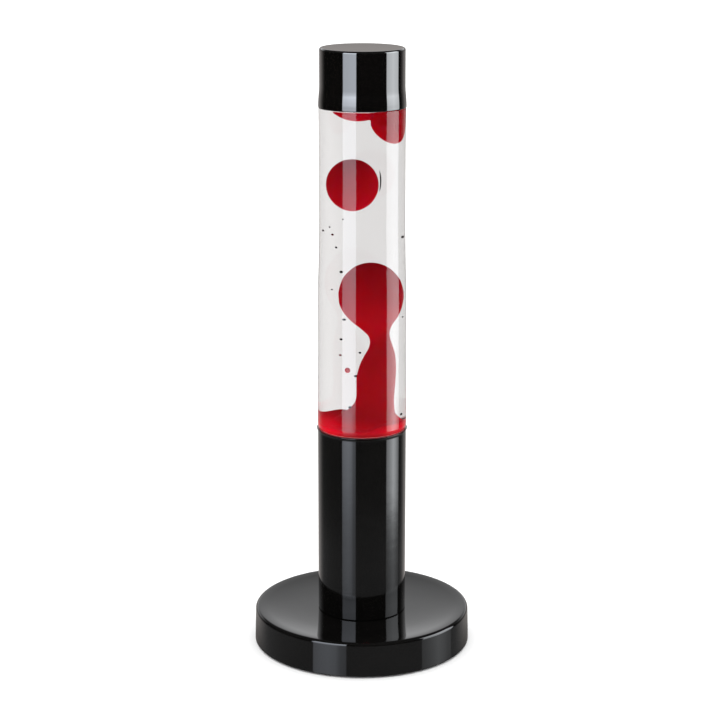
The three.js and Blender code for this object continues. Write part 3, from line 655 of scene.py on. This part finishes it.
inner_low = [(28.0, 158.6), (27.6, 157.4), (26.8, 156.3), (25.7, 155.3), (24.8, 154.0), (24.3, 152.4), (24.15, 150.0), (24.0, 148.9), (23.4, 147.6), (22.3, 146.7), (20.6, 146.3), (18.0, 146.35), (10, 146.5), (0, 146.6)]
glass_prof = foot_out + heel + wall_out + shoulder_out + inner_top + wall_in + inner_low
n_dry = len(foot_out) + len(heel) + len(wall_out) + len(shoulder_out) + 1  # from here on the wall is wetted
# faces of the band that carries the painted heel highlight
seam0, seam1 = len(foot_out) + 5, len(foot_out) + 7
edge0 = len(foot_out) + len(heel) + len(wall_out) - 1
bottle = lathe("bottle_glass", glass_prof, None, seg=192, mats=[M["glass"], M["wetted"], M["seam"], M["edge"]],
               mat_of=lambda i: 2 if seam0 <= i < seam1 else 3 if edge0 <= i < edge0 + 6 else (0 if i < n_dry else 1), sharp=60)
piece(bottle, "bottle", "clear_glass", "glass_bottle")

liq = [(r - .06, z) for r, z in inner_top[1:] + wall_in + inner_low[:-1]]
liq = [(0, 396.6), (9.5, 396.62), (10.9, 396.75)] + liq + [(0, 146.66)]
liq[-2] = (10, 146.56)
liquid = lathe("liquid_fill", liq, M["liquid"], seg=96, sharp=60)
piece(liquid, "bottle", "clear_liquid", "lamp_fluid")
ROOM_Z = np.array([q[1] for q in (inner_top + wall_in + inner_low)][::-1])
ROOM_R = np.array([q[0] for q in (inner_top + wall_in + inner_low)][::-1])


def room_r(z):
    o = np.argsort(ROOM_Z, kind="stable")
    return np.interp(z, ROOM_Z[o], ROOM_R[o])


def kept_inside(co, gap=.12):
    """Draws points (mm) that lie beyond the glass back to just inside it."""
    r = np.hypot(co[:, 0], co[:, 1])
    zf = np.interp(r, [0, 10, 18, 20.6, 22.3, 23.4, 24.0], [146.6, 146.5, 146.35, 146.3, 146.7, 147.6, 148.9]) + gap
    low = co[:, 2] < 149
    co[low, 2] = np.maximum(co[low, 2], zf[low])
    lim = room_r(co[:, 2]) - gap
    k = np.where(r > lim, lim / np.maximum(r, 1e-6), 1.0)
    co[:, 0] *= k; co[:, 1] *= k
    return co


def ringed(name, zq, cx, cy, r, seg=64):
    """Closed body of circular levels (mm)."""
    verts, faces, rows = [], [], []
    for z, x, y, q in zip(zq, cx, cy, r):
        if q < 1e-6:
            rows.append([len(verts)]); verts.append((x, y, z)); continue
        row = []
        for k in range(seg):
            t = 2 * math.pi * k / seg
            row.append(len(verts)); verts.append((x + q * math.cos(t), y + q * math.sin(t), z))
        rows.append(row)
    for a, b in zip(rows, rows[1:]):
        for k in range(seg):
            k2 = (k + 1) % seg
            if len(a) == 1: faces.append((a[0], b[k2], b[k]))
            elif len(b) == 1: faces.append((a[k], a[k2], b[0]))
            else: faces.append((a[k], a[k2], b[k2], b[k]))
    return np.array(verts), faces


def levels(rows, n=140, seg=72):
    """rows: (z, x, y, r) from bottom to top, in mm, smooth between; a radius of 0 closes an end."""
    rows = np.array(rows, float)
    z = rows[:, 0]
    u = .5 - .5 * np.cos(np.linspace(0, math.pi, n))
    zq = z[0] + (z[-1] - z[0]) * u
    r = np.sqrt(np.maximum(pchip(z, rows[:, 3] ** 2, zq), 0))
    r[0] = 0 if rows[0, 3] == 0 else r[0]
    r[-1] = 0 if rows[-1, 3] == 0 else r[-1]
    return ringed("w", zq, pchip(z, rows[:, 1], zq), pchip(z, rows[:, 2], zq), r, seg)


def voxel_union(name, parts, voxel, smooth, mat, gap=.12):
    """One skin round several closed bodies (mm), kept inside the glass."""
    verts, faces, off = [], [], 0
    for V, F in parts:
        verts += [tuple(np.array(v) * MM) for v in V]
        faces += [tuple(i + off for i in f) for f in F]
        off += len(V)
    me = bpy.data.meshes.new(name); me.from_pydata(verts, [], faces); me.validate()
    ob = bpy.data.objects.new(name, me); COL.objects.link(ob)
    m = ob.modifiers.new("r", "REMESH"); m.mode = "VOXEL"; m.voxel_size = voxel * MM; m.adaptivity = 0
    s = ob.modifiers.new("s", "SMOOTH"); s.factor = .5; s.iterations = smooth
    bpy.context.view_layer.update()
    applied(ob, 80)
    me = ob.data
    co = np.empty(len(me.vertices) * 3, np.float32); me.vertices.foreach_get("co", co)
    co = kept_inside(co.reshape(-1, 3).astype(float) / MM, gap) * MM
    me.vertices.foreach_set("co", co.astype(np.float32).ravel())
    me.materials.clear(); me.materials.append(mat)
    finish_shading(me, True, 80)
    return ob


PILLAR = [(147.5, 2.2, 0, 20.5), (157, 2.3, 0, 18.6), (161.0, 2.5, 0, 16.6), (164.2, 2.7, 0, 14.4), (167.2, 4.05, 0, 12.49), (170.2, 5.2, 0, 11.16), (173.2, 6.11, 0, 10.15), (176.2, 6.55, 0, 9.72), (179.2, 6.8, 0, 9.63), (182.2, 6.91, 0, 9.74),
          (185.2, 7.01, 0, 9.84), (188.2, 7.08, 0, 9.91), (191.2, 7.16, 0, 9.96), (194.2, 7.39, 0, 9.85), (197.2, 7.69, 0, 9.6), (200.2, 7.98, 0, 9.26), (203.2, 8.36, 0, 8.74),
          (206.2, 8.79, 0, 8.1), (209.2, 9.2, 0, 7.26), (212.2, 9.47, 0, 6.31), (215.2, 9.41, 0, 5.64), (218.2, 9.07, 0, 5.22), (221.2, 8.48, 0, 5.42), (224.2, 7.45, 0, 6.54),
          (227.2, 6.59, 0, 8.27), (230.2, 5.89, 0, 10.45), (233.2, 5.6, 0, 12.55), (236.2, 5.23, 0, 14.11), (239.2, 5.0, 0, 15.28), (242.2, 4.78, 0, 16.06), (245.2, 4.78, 0, 16.45),
          (248.2, 4.68, 0, 16.52), (251.2, 4.56, 0, 16.24), (254.2, 4.5, 0, 15.69), (257.2, 4.48, 0, 14.95), (260.2, 4.26, 0, 13.86), (262.2, 4.18, 0, 12.83), (263.7, 4.2, 0, 11.9),
          (265.2, 4.25, 0, 10.85), (266.7, 4.23, 0, 9.65), (268.2, 4.13, 0, 8.19), (269.7, 4.1, 0, 6.05), (270.7, 4.1, 0, 3.9), (271.4, 4.1, 0, 0)]


def pool_top(x, y):
    """Height of the molten pool's skin (mm): a swelling at the back left, falling away at the back right."""
    t = np.clip((x - 1) / 12, 0, 1); t = t * t * (3 - 2 * t)
    z = 158.9 * (1 - t) + (160.5 - .235 * np.clip(y, -7, 24)) * t
    z = z + 7.2 * np.exp(-(((x + 8) / 8.5) ** 2 + ((y - 14) / 9.0) ** 2))
    z = z + 1.0 * np.exp(-(((x + 20) / 7.0) ** 2 + ((y - 10) / 9.0) ** 2))
    return z + .25 * np.sin(x * .35 + y * .22) * np.cos(y * .31)


def pool():
    rs = list(np.linspace(0, 26.4, 34)) + [26.9, 27.3, 27.6, 27.85]
    seg = 144
    verts, faces, rows = [], [], []
    for r in rs:
        if r == 0:
            rows.append([0]); verts.append((0, 0, float(pool_top(np.array(0.), np.array(0.))))); continue
        row = []
        for k in range(seg):
            t = 2 * math.pi * k / seg
            x, y = r * math.cos(t), r * math.sin(t)
            edge = max(0.0, (r - 26.2) / 1.65)
            top_ = float(pool_top(np.array(x), np.array(y))) + .15 * edge ** 2
            fit = 27.9 if top_ > 158.4 else 25.4 + (top_ - 155.1) * .75      # the heel narrows under a low edge
            k2 = min(1.0, fit / max(r, 1e-6))
            row.append(len(verts)); verts.append((x * k2, y * k2, top_))
        rows.append(row)
    for r, z in [(27.95, 160.2), (27.9, 158.4), (27.5, 157.3), (26.6, 156.2), (25.4, 155.1), (24.5, 153.6), (24.1, 151.5), (24.0, 149.2), (23.2, 147.6), (20.6, 146.45), (12, 146.6)]:
        row = []
        for k in range(seg):
            t = 2 * math.pi * k / seg
            lim = float(pool_top(np.array(27.5 * math.cos(t)), np.array(27.5 * math.sin(t)))) - .15
            row.append(len(verts)); verts.append((r * math.cos(t), r * math.sin(t), min(z, lim)))
        rows.append(row)
    rows.append([len(verts)]); verts.append((0, 0, 146.7))
    for a, b in zip(rows, rows[1:]):
        for k in range(seg):
            k2 = (k + 1) % seg
            if len(a) == 1: faces.append((a[0], b[k], b[k2]))
            elif len(b) == 1: faces.append((a[k], b[0], a[k2]))
            else: faces.append((a[k], b[k], b[k2], a[k2]))
    return np.array(verts), faces


wax = voxel_union("wax_pool_and_pillar", [levels(PILLAR), pool()], .5, 6, M["wax"])
piece(wax, "bottle", "red_wax", "wax_pool")

BLOB = [(306.6, -5.11, 0, 0), (308.2, -5.11, 0, 5.29), (310.7, -5.1, 0, 8.42), (313.2, -5.1, 0, 10.31), (315.7, -5.1, 0, 11.59), (318.2, -5.08, 0, 12.43), (320.7, -5.06, 0, 12.94), (323.2, -5.04, 0, 13.15),
        (325.7, -5.0, 0, 13.06), (328.2, -4.96, 0, 12.74), (330.7, -4.92, 0, 12.09), (333.2, -4.88, 0, 11.11), (335.7, -4.84, 0, 9.69), (338.2, -4.81, 0, 7.61), (340.7, -4.79, 0, 3.95), (341.4, -4.79, 0, 0)]
V, F = levels(BLOB, n=80, seg=96)
blob = mesh_object("free_wax_blob", V * MM, F, M["wax"], sharp=80)
piece(blob, "free_wax", "red_wax", "wax_blob")
tv, tf = [], []                                                    # a thin thread of wax that hangs beside the blob
for i in range(25):
    u = i / 12 - 1
    h = max(.08, .36 * (1 - u * u) ** .5)
    for k in range(10):
        t = 2 * math.pi * k / 10
        tv.append(((9.15 - .55 * u * u + h * math.cos(t)) * MM, h * 1.6 * math.sin(t) * MM, (326.8 + 6.9 * u) * MM))
for i in range(24):
    for k in range(10):
        k2 = (k + 1) % 10
        tf.append((i * 10 + k, i * 10 + k2, i * 10 + 10 + k2, i * 10 + 10 + k))
tf += [tuple(range(9, -1, -1)), tuple(range(240, 250))]
piece(mesh_object("wax_thread", tv, tf, M["speck"], sharp=80), "free_wax", "red_wax")


def ellipsoid(x, y, z, r, h, n=60, seg=72, ry=None):
    t = np.linspace(0, math.pi, n)
    V, F = ringed("e", z - h * np.cos(t), [x] * n, [y] * n, [0 if i in (0, n - 1) else r * math.sin(a) for i, a in enumerate(t)], seg)
    if ry: V[:, 1] = y + (V[:, 1] - y) * ry / r
    return V, F


HANG = [(351.7, 17.0, -1, 0), (353.2, 16.5, -1, 4.3), (355.2, 15.84, -1, 6.2), (357.2, 15.3, -1, 7.5), (359.2, 14.8, -1, 8.5), (361.2, 14.5, -1, 9.2), (363.2, 14.25, -1, 9.75),
        (365.2, 14.14, -1, 10.06), (367.2, 14.2, -1, 10.0), (369.5, 14.4, -1, 10.1), (372.5, 14.4, -1, 11.0), (377, 13.5, -1, 12.0), (380, 12.5, -1, 10.5), (382.5, 12.5, -1, 0)]
top = voxel_union("wax_under_shoulder", [ellipsoid(-2.1, 2, 378.7, 14.5, 12.1), levels(HANG), ellipsoid(9, 2, 381.5, 16.5, 8)], .5, 4, M["wax"])
piece(top, "bottle", "red_wax", "wax_top")
V, F = ellipsoid(-7.3, 0, 196.8, 1.4, 1.9, n=24, seg=32)
piece(mesh_object("largest_droplet", V * MM, F, M["wax"], sharp=80), "bottle", "red_wax", "wax_droplet")

SPECKS = [(-18.00, -14.0, 292.30, .62, 0), (-15.50, -14.0, 283.75, .36, 1), (-11.40, -7.0, 265.99, .48, 1), (-20.10, -14.0, 297.30, .3, 1), (-20.86, 0.0, 292.51, .38, 1), (-11.50, -17.0, 303.30, .25, 1),
          (19.84, 5.0, 287.23, .5, 1), (-15.82, -2.0, 252.81, .25, 1), (-8.17, 8.0, 230.81, .42, 1), (-11.19, -5.0, 219.35, .4, 1), (-10.76, 2.0, 206.91, .52, 0), (-1.19, -9.0, 210.96, .36, 1),
          (-2.95, 4.0, 191.97, .45, 1), (-6.47, -6.0, 171.89, .42, 1), (20.69, 3.0, 232.48, .28, 1), (24.0, -8.0, 166.4, .5, 1)]
sv, sf, sm_, so = [], [], [], 0
for x, y, z, r, k in SPECKS:
    V, F = ellipsoid(x, y, z, r * (2.1 if k else 1.5), r * (1.85 if k else 1.1), n=12, seg=16)
    sv += [tuple(q * MM) for q in V]; sf += [tuple(i + so for i in f) for f in F]; sm_ += [k] * len(F); so += len(V)
piece(mesh_object("small_wax_specks", sv, sf, None, mats=[M["drop"], M["speck"]], face_mat=sm_, sharp=80), "bottle", "red_wax")

# ring of coiled wire on the floor of the bottle
ringpts = []
turns = 60
for i in range(turns * 16):
    a = 2 * math.pi * i / (turns * 16)
    t = turns * a
    c = Vector((19 * math.cos(a), 19 * math.sin(a), 148.05))
    o = Vector((math.cos(a), math.sin(a), 0))
    ringpts.append((c + 1.2 * (math.cos(t) * o + math.sin(t) * Vector((0, 0, 1)))) * MM)
piece(sweep("heating_coil_wire", ringpts, .00036, M["steel"], sides=8, closed=True), "bottle", "steel", "heating_coil")

# closure and its liner


def knurl(t, r, z):
    if r > 14.9 and 398.0 < z < 405.8:
        return r - .22 * (0.5 + 0.5 * math.cos(72 * t)), z
    return r, z


cl = outline([(0, 407.4), (13.2, 407.4, .5), (13.6, 407.1, .3), (14.5, 407.4, .4), (15.2, 406.8, .5), (15.2, 405.9, .1)])
cl += [(15.2, z) for z in np.linspace(405.6, 398.2, 12)] + [(15.2, 397.8), (15.35, 397.3), (15.3, 396.8), (15.1, 396.6), (14.6, 396.6), (14.4, 396.8), (14.4, 405.6), (14.2, 406.3), (13.9, 406.6), (0, 406.6)]
piece(lathe("bottle_screw_closure", cl, M["steel"], seg=288, mod=knurl, sharp=45), "bottle", "steel", "bottle_closure")
piece(lathe("closure_liner", outline([(0, 404.4), (13.7, 404.4, .4), (13.7, 406.2, .4), (0, 406.2)]), M["white"], seg=72), "bottle", "white_plastic", "closure_seal")

# ---------------------------------------------------------------- cap
cz = np.concatenate([np.linspace(376.0, 392, 30), np.linspace(394, 411.6, 8)])
co_r = pchip([375.4, 378.2, 381.2, 383.8, 386.3, 389.4, 400, 413], [29.42, 29.36, 29.18, 28.97, 28.74, 28.62, 28.6, 28.6], cz)
cap_out = [(28.35, 375.42), (28.8, 375.4), (29.1, 375.4), (29.28, 375.47), (29.39, 375.65)] + list(zip(co_r, cz))
arc = [(27.1 + 1.5 * math.cos(a), 413.0 + 1.5 * math.sin(a)) for a in np.linspace(0, math.pi / 2, 10)]
cap_top = [(28.6, 412.6)] + arc + [(26.8, 414.5), (24, 414.5), (12, 414.5), (0, 414.5)]
cap_in = [(0, 412.5), (12, 412.5), (25.9, 412.5), (26.5, 412.4), (26.95, 412.05), (27.1, 411.6), (27.1, 405), (27.1, 395), (27.12, 390.0), (27.5, 385.0), (27.9, 380.0), (28.02, 377), (28.08, 375.8), (28.15, 375.55)]
cap_prof = [(0, 414.5), (12, 414.5), (24, 414.5), (26.8, 414.5)] + arc[::-1] + [(28.6, 412.6)] + list(zip(co_r, cz))[::-1] + cap_out[:5][::-1] + cap_in[::-1]
cap = lathe("cap_shell_gloss", cap_prof, M["cap"], seg=192, sharp=50)
piece(cap, "cap", "gloss_black", "cap_shell")
piece(lathe("cap_foam_liner", outline([(0, 407.95), (19.6, 407.95, .8), (20, 410, .5), (20, 412.25, .4), (0, 412.25)]), M["foam"], seg=96), "cap", "foam", "cap_liner")

# ---------------------------------------------------------------- stage
floor_m, nt, bs = nodes_of("pale_floor")
bs.inputs["Base Color"].default_value = (.93, .93, .93, 1)
bs.inputs["Roughness"].default_value = 1.0
bs.inputs["Specular IOR Level"].default_value = 0.0
nt.links.new(ramp(nt, noise(nt, 3, 2), [(.2, (.925, .925, .925)), (.8, (.935, .935, .935))]), bs.inputs["Base Color"])
fl = mesh_object("floor", [(-20, -20, 0), (20, -20, 0), (20, 20, 0), (-20, 20, 0)], [(0, 1, 2, 3)], floor_m, smooth=False)
fl.visible_glossy = False
fl.visible_transmission = False

w = bpy.data.worlds.new("studio"); S.world = w; w.use_nodes = True
nt = w.node_tree; nt.nodes.clear()
outw = nt.nodes.new("ShaderNodeOutputWorld")
bg = nt.nodes.new("ShaderNodeBackground")
nt.links.new(bg.outputs[0], outw.inputs[0])
tc = nt.nodes.new("ShaderNodeTexCoord")
sep = nt.nodes.new("ShaderNodeSeparateXYZ")
nt.links.new(tc.outputs["Generated"], sep.inputs[0])
X, Y, Z = sep.outputs
az = math2(nt, "MULTIPLY", math2(nt, "ARCTAN2", X, math2(nt, "MULTIPLY", Y, -1.0)), 180 / math.pi)     # 0 towards the camera, + to the right
el = math2(nt, "MULTIPLY", math2(nt, "ARCSINE", Z), 180 / math.pi)


def curve_of(v, pts):
    """Piecewise linear value of v through (x, y) points, as a float curve over the range."""
    x0, x1 = pts[0][0], pts[-1][0]
    u = maprange(nt, v, x0, x1, 0, 1)
    r = nt.nodes.new("ShaderNodeFloatCurve")
    top_ = max(p[1] for p in pts)
    c = r.mapping.curves[0]
    while len(c.points) > 2: c.points.remove(c.points[1])
    c.points[0].location = (0, pts[0][1] / top_); c.points[-1].location = (1, pts[-1][1] / top_)
    for x, y in pts[1:-1]:
        c.points.new((x - x0) / (x1 - x0), y / top_)
    for p in c.points: p.handle_type = "VECTOR"
    r.mapping.update()
    nt.links.new(u, r.inputs["Value"])
    return math2(nt, "MULTIPLY", r.outputs[0], top_)


def tinted(v, c):
    m = nt.nodes.new("ShaderNodeVectorMath"); m.operation = "SCALE"
    m.inputs[0].default_value = c
    nt.links.new(v, m.inputs["Scale"])
    return m.outputs[0]


def vadd(a, b):
    m = nt.nodes.new("ShaderNodeVectorMath"); m.operation = "ADD"
    nt.links.new(a, m.inputs[0]); nt.links.new(b, m.inputs[1])
    return m.outputs[0]


def vmix(f, a, b):
    m = nt.nodes.new("ShaderNodeMix"); m.data_type = "VECTOR"
    nt.links.new(f, m.inputs["Factor"])
    nt.links.new(a, m.inputs[4]); nt.links.new(b, m.inputs[5])
    return m.outputs[1]


def mixf(f, a, b):
    return math2(nt, "ADD", math2(nt, "MULTIPLY", a, math2(nt, "SUBTRACT", 1.0, f)), math2(nt, "MULTIPLY", b, f))


low = maprange(nt, el, -13.0, -16.2, 0, 1, True)      # 1 for what the column and base mirror, 0 for the cap and the upper glass
left_az = mixf(low, curve_of(az, [(-53.6, 0), (-52.6, .8), (-50, .95), (-30, 1.02), (-20, 1.04), (-16.6, 1.0), (-15.8, 0)]),
               curve_of(az, [(-53.6, 0), (-52.6, .75), (-46, .95), (-36, 1.08), (-28, .95), (-23, .55), (-16.8, .42), (-15.8, 0)]))
left = math2(nt, "MULTIPLY", left_az,
             curve_of(el, [(-30, .5), (-21.6, .55), (-21, 1.2), (-19.4, 1.4), (-18.6, 1.95), (-17.8, 2.5), (-16.6, 3.1), (-15.5, 3.4), (-12, 3.35), (-4, 3.4), (5, 6), (28, 6.5), (33, .2), (45, 0)]))
right_az = mixf(low, curve_of(az, [(66.8, 0), (67.8, .85), (76, .98), (90, 1.07), (106, .82), (110.6, .72), (112, 0)]),
                curve_of(az, [(66.8, 0), (67.8, .5), (76, .73), (90, 1.12), (98, .8), (106, .40), (111, .3), (112, 0)]))
right = math2(nt, "MULTIPLY", right_az,
              curve_of(el, [(-30, .28), (-21.6, .32), (-21, .75), (-20, .85), (-19.4, 1.05), (-18.9, 2.2), (-18.4, 5.2), (-16, 5.0), (-13.5, 4.2), (-10, 3.95), (-4, 4.0), (5, 6), (28, 6.5), (33, .2), (45, 0)]))
absaz = math2(nt, "ABSOLUTE", az)
behind = maprange(nt, absaz, 118, 150, 0, 1, True)
back_low = math2(nt, "MULTIPLY", behind, curve_of(el, [(-30, .18), (-21.5, .2), (-20.5, .62), (-17.5, .5), (-14, .45), (-8, .5), (5.5, .32), (6.2, .50), (9, .45), (12, 0), (90, 0)]))
back_high = math2(nt, "MULTIPLY", behind, curve_of(el, [(-90, 0), (9, 0), (12, .6), (14, 1.45), (16.5, 1.42), (18, 1.25), (19.5, 1.0), (21, .82), (22.5, .68), (25, .56), (27, .5), (29.5, .1), (90, .05)]))
front = math2(nt, "MULTIPLY", maprange(nt, absaz, 118, 150, 1, 0, True),
              curve_of(el, [(-40, .2), (-22, .19), (-19.8, .22), (-18.8, .1), (-16.5, .07), (-12, .03), (-5, .015), (20, .04), (40, .08), (90, .05)]))
studio = vadd(vadd(tinted(left, (.93, .99, 1.10)), tinted(right, (.965, 1.0, 1.035))), vadd(tinted(math2(nt, "ADD", back_high, front), (.99, .995, 1.01)), tinted(back_low, (1.05, .985, .955))))
aside = curve_of(az, [(-180, .97), (-100, .97), (0, 1.0), (100, 1.1), (152, 1.1), (160, 1.06), (168, 1.0), (174, .98), (180, .97)])
seen_through = tinted(math2(nt, "MULTIPLY", aside, curve_of(el, [(-90, 1.95), (-40, 1.9), (-26, 1.4), (-19, 1.0), (-16, .96), (-6, .93), (2, .82), (16, .42), (40, .3), (90, .3)])), (1.0, .996, .998))
dome = tinted(curve_of(el, [(-90, .5), (0, .8), (20, 1.3), (45, 1.75), (90, 1.75)]), (1.0, 1.0, 1.0))
white = nt.nodes.new("ShaderNodeCombineXYZ")
for i in range(3): white.inputs[i].default_value = 1.0
lp = nt.nodes.new("ShaderNodeLightPath")
v = vmix(lp.outputs["Is Glossy Ray"], dome, studio)
v = vmix(lp.outputs["Is Transmission Ray"], v, seen_through)      # a refracted ray counts as glossy too
v = vmix(lp.outputs["Is Camera Ray"], v, white.outputs[0])
nt.links.new(v, bg.inputs["Color"])
bg.inputs["Strength"].default_value = 1.0

# ---------------------------------------------------------------- camera
cam = bpy.data.cameras.new("camera")
cam.sensor_width = 36; cam.lens = 2066.99 * 36 / 720; cam.clip_start = .01; cam.clip_end = 100
co = bpy.data.objects.new("camera", cam); COL.objects.link(co)
co.location = (-.00139, -1.366754, .55571 + .0012)
co.rotation_mode = "QUATERNION"
co.rotation_quaternion = Euler((math.pi / 2 - .2540, 0, 0)).to_quaternion() @ Quaternion((0, 0, 1), .0009)
S.camera = co
S.view_settings.view_transform = "Standard"
S.view_settings.look = "None"
